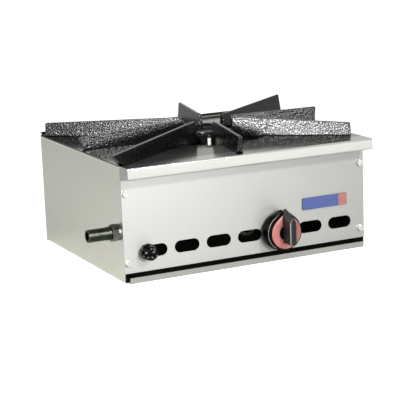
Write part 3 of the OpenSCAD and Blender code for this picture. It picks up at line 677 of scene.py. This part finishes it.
igniter = {
    "x": 41.0, "z": 48.4, "steps": 96,
    # the collar: its radius, how far it stands out, its rim's edge and slope, its chamfer's
    # width and depth, and the ribs, whose axes lie ribSunk times their radius inside it
    "collar": 13.4, "collarOut": 8.3, "lift": 0.02, "rim": (1.6, 2.4), "chamfer": (1.8, 2.2),
    "ribs": 22, "ribRadius": 1.0, "ribSunk": 0.7, "ribFrom": 1.9, "ribTo": 7.0, "ribSides": 10,
    "collarRound": 0.5, "play": 0.3, "mouth": 0.05, "recess": 1.2,
    "body": 17.0, "bodyBack": 46.0, "stub": 7.0, "stubBack": 51.0, "bore": 12.4,
    # the button: radii and heights of neck and head, and the head's crown as steps inwards
    # from its edge and down from its top
    "button": 10.5, "buttonFrom": 7.0, "out": 20.0, "head": 12.3, "headFrom": 13.8,
    "underCut": 0.8, "crown": ((0, 3.6), (1.3, 1.6), (4.2, 0.4), (7.5, 0.02)),
    "buttonRound": 1.2, "roundSteps": 4,
    "flutes": 16, "fluteDepth": 0.014, "fluteEnd": 2.0, "stemBack": 12.0, "stemPlay": 0.1,
    "travel": 5.0,
    "springFrom": 12.35, "springTo": 22.0, "springRadius": 4.75, "wire": 1.2,
    "coils": 4, "coilSteps": 24, "wireSides": 8,
}


def openTree(name, inputs):
    # A node group with these inputs (name -> kind) besides a mesh and its finish
    tree = bpy.data.node_groups.new(name, "GeometryNodeTree")
    sockets = {"Geometry": "Geometry", **inputs, "Finish": "Material"}
    tree.interface.new_socket("Geometry", in_out="OUTPUT", socket_type="NodeSocketGeometry")
    for title, kind in sockets.items():
        tree.interface.new_socket(title, in_out="INPUT", socket_type="NodeSocket" + kind)
    return tree, addNode(tree, "NodeGroupInput").outputs


def closeTree(tree, given, geometry):
    painted = addNode(tree, "GeometryNodeSetMaterial", {
        "Geometry": geometry, "Material": given["Finish"]})
    addNode(tree, "NodeGroupOutput", {0: painted.outputs[0]})
    return tree


def ribTree():
    # Straight ribs set round an axis that points out of the panel, joined to the given mesh
    tree, given = openTree("gripRibs", {
        "Count": "Int", "Circle radius": "Float", "Rib radius": "Float", "Rib length": "Float",
        "Rib sides": "Int", "Centre": "Vector"})
    circle = addNode(tree, "GeometryNodeMeshCircle", {
        "Vertices": given["Count"], "Radius": given["Circle radius"]})
    rib = addNode(tree, "GeometryNodeMeshCylinder", {
        "Vertices": given["Rib sides"], "Radius": given["Rib radius"],
        "Depth": given["Rib length"]})
    spread = addNode(tree, "GeometryNodeInstanceOnPoints", {
        "Points": circle.outputs[0], "Instance": rib.outputs[0]})
    real = addNode(tree, "GeometryNodeRealizeInstances", {0: spread.outputs[0]})
    turned = addNode(tree, "GeometryNodeTransform", {
        "Geometry": real.outputs[0], "Translation": given["Centre"],
        "Rotation": (math.pi / 2, 0, 0)})
    both = addNode(tree, "GeometryNodeJoinGeometry")
    tree.links.new(turned.outputs[0], both.inputs[0])
    tree.links.new(given["Geometry"], both.inputs[0])
    return closeTree(tree, given, both.outputs[0])


def runTree(obj, tree, values):
    # Sets the named inputs, takes the evaluated result as a plain mesh and drops the modifier
    modifier = obj.modifiers.new("pattern", "NODES")
    modifier.node_group = tree
    for item in tree.interface.items_tree:
        if item.item_type == "SOCKET" and item.in_out == "INPUT" and item.name in values:
            modifier[item.identifier] = values[item.name]
    bpy.context.view_layer.update()
    evaluated = obj.evaluated_get(bpy.context.evaluated_depsgraph_get())
    mesh = bpy.data.meshes.new_from_object(evaluated)
    obj.modifiers.remove(modifier)
    obj.data = mesh


def makeCollar(g):
    # the ribbed collar and, behind the panel, the housing's body with its terminal
    at = onPanel(g["x"], g["z"])
    bm = bmesh.new()
    rim, (rimEdge, rimSlope), (chamferIn, chamferBack) = g["collar"], g["rim"], g["chamfer"]
    collar, out = rim - g["ribRadius"] * g["ribSunk"], g["collarOut"]
    body, bodyBack, lift = g["body"] / 2, -g["bodyBack"], g["lift"]
    stub, stubBack = g["stub"] / 2, -g["stubBack"]
    inner, recess = g["button"] + g["play"], g["recess"]
    bore, floor = g["bore"] / 2, -g["springTo"]
    revolve(bm, roundProfile([
        (0, stubBack), (stub, stubBack), (stub, bodyBack), (body, bodyBack), (body, lift),
        (rim, lift), (rim, rimEdge), (collar, rimSlope), (collar, out - chamferBack),
        (collar - chamferIn, out), (inner + g["mouth"], out), (inner, recess), (bore, recess),
        (bore, floor), (0, floor)], g["collarRound"]), g["steps"], at)
    piece = fromBmesh("igniterCollar", bm, darkChrome)
    runTree(piece, ribTree(), {
        "Count": g["ribs"], "Circle radius": collar * mm, "Rib radius": g["ribRadius"] * mm,
        "Rib length": (g["ribTo"] - g["ribFrom"]) * mm, "Rib sides": g["ribSides"],
        "Centre": at(0, 0, (g["ribFrom"] + g["ribTo"]) / 2), "Finish": darkChrome})
    piece.name = "igniterCollar"
    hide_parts("igniter_housing")
    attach(piece, "stove")


def makeButton(g):
    # the mushroom head with shallow flutes, its neck and the stem in the housing's bore
    at = onPanel(g["x"], g["z"])
    bm = bmesh.new()
    neck, top, stem = g["button"] - g["play"], g["out"], g["bore"] / 2 - g["stemPlay"]
    low, stemBack = g["buttonFrom"], -g["stemBack"]
    head, headFrom, underCut = g["head"], g["headFrom"], g["underCut"]
    crown = [(head - inwards, top - drop) for inwards, drop in g["crown"]]

    def flute(a, height):
        if not headFrom < height < top - g["fluteEnd"]:
            return 1
        return 1 - g["fluteDepth"] * (1 + math.cos(g["flutes"] * a))

    profile = [(0, stemBack), (stem, stemBack), (stem, low), (neck, low), (neck, headFrom),
               (head - underCut, headFrom), (head, headFrom + underCut)] + crown + [(0, top)]
    revolve(bm, roundProfile(profile, g["buttonRound"], g["roundSteps"]), g["steps"], at, flute)
    button = fromBmesh("igniterButton", bm, darkChrome)
    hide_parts("igniter_button")
    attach(button, "button")


def makeSpring(g):
    # the coil that the button's stem presses against the floor of its housing
    at = onPanel(g["x"], g["z"])
    length, thin = g["springTo"] - g["springFrom"], g["wire"] / 2
    steps, sides = g["coilSteps"], g["wireSides"]
    rows = []
    for k in range(g["coils"] * steps + 1):
        a = 2 * math.pi * k / steps
        deep = g["springFrom"] + thin + (length - 2 * thin) * k / (g["coils"] * steps)
        row = []
        for n in range(sides):
            b = 2 * math.pi * n / sides
            r = g["springRadius"] + thin * math.cos(b)
            row.append(at(r * math.cos(a), r * math.sin(a), thin * math.sin(b) - deep))
        rows.append(row)
    bm = bmesh.new()
    loft(bm, rows)
    piece = fromBmesh("igniterSpring", bm, zincSteel)
    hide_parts("igniter_spring")
    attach(piece, "stove")
    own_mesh(piece)


makeCollar(igniter)
makeButton(igniter)
makeSpring(igniter)
print("igniter ready")

screws = {
    "columns": (7.3, 442.7), "rows": (33.2, 147.3), "acrossFlats": 10.0, "head": 4.0,
    "face": 0.94,  # share of the flats that the turned chamfer leaves
    "chamfer": 0.5,  # radians
    "sides": 64,  # of the chamfer's cone
    "spinSeed": 7,
}


def screwTree():
    # A hexagon head with a turned chamfer on each point of the given mesh, facing the front
    tree, given = openTree("hexagonHeads", {
        "Corner radius": "Float", "Head height": "Float", "Chamfer top": "Float",
        "Chamfer foot": "Float", "Chamfer sides": "Int", "Spin seed": "Int"})
    prism = addNode(tree, "GeometryNodeMeshCylinder", {
        "Vertices": 6, "Radius": given["Corner radius"], "Depth": given["Head height"]})
    half = addNode(tree, "ShaderNodeMath", {
        0: given["Head height"], 1: 0.5}, operation="MULTIPLY")
    lift = addNode(tree, "ShaderNodeCombineXYZ", {2: half.outputs[0]})
    raised = addNode(tree, "GeometryNodeTransform", {
        "Geometry": prism.outputs[0], "Translation": lift.outputs[0]})
    cone = addNode(tree, "GeometryNodeMeshCone", {
        "Vertices": given["Chamfer sides"], "Radius Top": given["Chamfer top"],
        "Radius Bottom": given["Chamfer foot"], "Depth": given["Head height"]})
    head = addNode(tree, "GeometryNodeMeshBoolean", operation="INTERSECT", solver="EXACT")
    tree.links.new(raised.outputs[0], head.inputs[1])
    tree.links.new(cone.outputs[0], head.inputs[1])
    spread = addNode(tree, "GeometryNodeInstanceOnPoints", {
        "Points": given["Geometry"], "Instance": head.outputs[0],
        "Rotation": (math.pi / 2, 0, 0)})
    spin = addNode(tree, "FunctionNodeRandomValue", {
        0: (0, 0, 0), 1: (0, 0, math.pi / 3), "Seed": given["Spin seed"]},
        data_type="FLOAT_VECTOR")
    turned = addNode(tree, "GeometryNodeRotateInstances", {
        "Instances": spread.outputs[0], "Rotation": spin.outputs[0], "Local Space": True})
    real = addNode(tree, "GeometryNodeRealizeInstances", {0: turned.outputs[0]})
    return closeTree(tree, given, real.outputs[0])


def makeScrews(s):
    corners = [place(x, 0, z) for x in s["columns"] for z in s["rows"]]
    mesh = bpy.data.meshes.new("screwPlaces")
    mesh.from_pydata(corners, [], [])
    piece = makeObject("panelScrewHeads", mesh, zincSteel, False)
    flat, head = s["acrossFlats"] / 2 * mm, s["head"] * mm
    face = flat * s["face"]
    runTree(piece, screwTree(), {
        "Corner radius": flat / math.cos(math.pi / 6), "Head height": head,
        "Chamfer top": face, "Chamfer foot": face + head / math.tan(s["chamfer"]),
        "Chamfer sides": s["sides"], "Spin seed": s["spinSeed"], "Finish": zincSteel})
    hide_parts("front_panel_screws")
    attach(piece, "stove")
    print("screws ready:", len(piece.data.polygons), "faces")


makeScrews(screws)


def makeBadge(b):
    at = onPanel(b["x"], b["z"])
    w, h, r, steps = b["width"] / 2, b["height"] / 2, b["corner"], b["cornerSteps"]
    loop = []
    for cx, cz, start in ((w - r, h - r, 0), (r - w, h - r, 90), (r - w, r - h, 180),
                          (w - r, r - h, 270)):
        for k in range(steps + 1):
            a = math.radians(start + 90 / steps * k)
            loop.append((cx + r * math.cos(a), cz + r * math.sin(a)))
    bm = bmesh.new()
    loft(bm, [[at(x, z, out) for x, z in loop] for out in (b["lift"], b["thick"])])
    piece = fromBmesh("badgePlate", bm, badgeFinish)
    softenEdges(piece, b["edge"], 40)
    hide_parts("badge_plate")
    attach(piece, "stove")
    print("badge ready")


makeBadge(badge)

# Floor, world and lamps, here in metres
studio = {
    "floor": 24.0,
    "floorDrop": 0.0004,  # keeps the floor clear of the faces that stand on it
    "floorSeen": 0.78, "floorMirrored": 0.16, "worldLevel": 0.26,
    "aimHeight": 0.15,
    "lamps": {  # direction from the stove, distance, size and power
        "keyLamp": ((0.3, -0.85, 0.52), 2.6, (0.26, 0.26), 34),
        "stripLamp": ((-0.682, -0.706, 0.19), 3.0, (0.45, 0.4), 100),
        "sideLamp": ((0.24, -0.96, 0.17), 3.0, (0.4, 0.4), 34),
    },
}


def makeFloor(s):
    mesh = bpy.data.meshes.new("floor")
    half = s["floor"] / 2
    mesh.from_pydata([(-half, -half, 0), (half, -half, 0), (half, half, 0), (-half, half, 0)],
                     [], [(0, 1, 2, 3)])
    mesh.transform(Matrix.Translation((0, 0, -s["floorDrop"])))
    floor = bpy.data.objects.new("floor", mesh)
    bpy.context.scene.collection.objects.link(floor)
    material = bpy.data.materials.new("paleStudioFloor")
    material.use_nodes = True
    tree = material.node_tree
    tree.nodes.clear()
    output = addNode(tree, "ShaderNodeOutputMaterial")
    matt = addNode(tree, "ShaderNodeBsdfDiffuse", {"Color": toLinear("#f4f4f3")})
    rays = addNode(tree, "ShaderNodeLightPath")
    mirrored = addNode(tree, "ShaderNodeMath", {
        0: rays.outputs["Is Glossy Ray"], 1: rays.outputs["Is Transmission Ray"]},
        operation="MAXIMUM")
    mirrored = addNode(tree, "ShaderNodeMath", {
        0: mirrored.outputs[0], 1: s["floorMirrored"]}, operation="MULTIPLY")
    strength = addNode(tree, "ShaderNodeMath", {
        0: rays.outputs["Is Camera Ray"], 1: s["floorSeen"], 2: mirrored.outputs[0]},
        operation="MULTIPLY_ADD")
    glow = addNode(tree, "ShaderNodeEmission", {"Color": (1, 1, 1, 1)})
    tree.links.new(strength.outputs[0], glow.inputs["Strength"])
    both = addNode(tree, "ShaderNodeAddShader", {0: matt.outputs[0], 1: glow.outputs[0]})
    tree.links.new(both.outputs[0], output.inputs[0])
    mesh.materials.append(material)


def makeWorld(s):
    world = bpy.data.worlds.new("studio")
    bpy.context.scene.world = world
    world.use_nodes = True
    tree = world.node_tree
    tree.nodes.clear()
    output = addNode(tree, "ShaderNodeOutputWorld")
    rays = addNode(tree, "ShaderNodeLightPath")
    seen = addNode(tree, "ShaderNodeMath", {
        0: rays.outputs["Is Camera Ray"], 1: rays.outputs["Is Glossy Ray"]}, operation="MAXIMUM")
    seen = addNode(tree, "ShaderNodeMath", {
        0: seen.outputs[0], 1: rays.outputs["Is Transmission Ray"]}, operation="MAXIMUM")
    level = addNode(tree, "ShaderNodeMapRange", {
        "Value": seen.outputs[0], "To Min": s["worldLevel"], "To Max": 1.0})
    back = addNode(tree, "ShaderNodeBackground", {"Color": (1, 1, 1, 1)})
    tree.links.new(level.outputs[0], back.inputs["Strength"])
    tree.links.new(back.outputs[0], output.inputs[0])


def makeLamp(name, direction, distance, size, power, aimHeight):
    data = bpy.data.lights.new(name, "AREA")
    data.shape = "RECTANGLE"
    data.size, data.size_y = size
    data.energy = power
    lamp = bpy.data.objects.new(name, data)
    bpy.context.scene.collection.objects.link(lamp)
    towards = Vector(direction).normalized()
    lamp.location = Vector((0, 0, aimHeight)) + towards * distance
    lamp.rotation_euler = towards.to_track_quat("Z", "Y").to_euler()


makeFloor(studio)
makeWorld(studio)
for name, settings in studio["lamps"].items():
    makeLamp(name, *settings, aimHeight=studio["aimHeight"])
print("floor, world and lamps ready")
